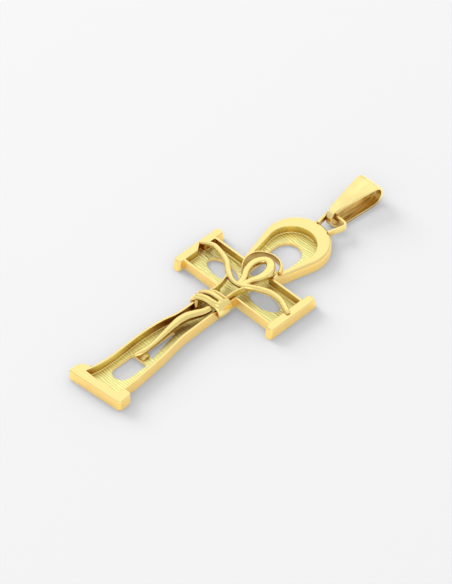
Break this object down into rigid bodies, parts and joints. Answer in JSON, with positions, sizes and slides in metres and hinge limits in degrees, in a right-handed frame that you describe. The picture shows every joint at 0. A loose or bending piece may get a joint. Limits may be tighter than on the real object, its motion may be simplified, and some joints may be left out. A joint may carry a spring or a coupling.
{
  "type": "ankh pendant",
  "caption": "Gold ankh pendant: a hollow-walled frame over a pierced back plate, with an abstract wire figure wrapped at the waist and a folded ribbon bail on a soldered link.",
  "frame": {"origin": "bottom centre of the box round the pendant and its bail, lying on its back", "axes": "+X along the crossbar, +Y up the shaft to the bail, +Z out of the front"},
  "size_m": [0.0164, 0.0462, 0.0029],
  "materials": {
    "gold": "polished yellow gold, brushed in the recess"
  },
  "bodies": {
    "root": {"ankh": "gold", "bail": "gold"}
  },
  "joints": []
}
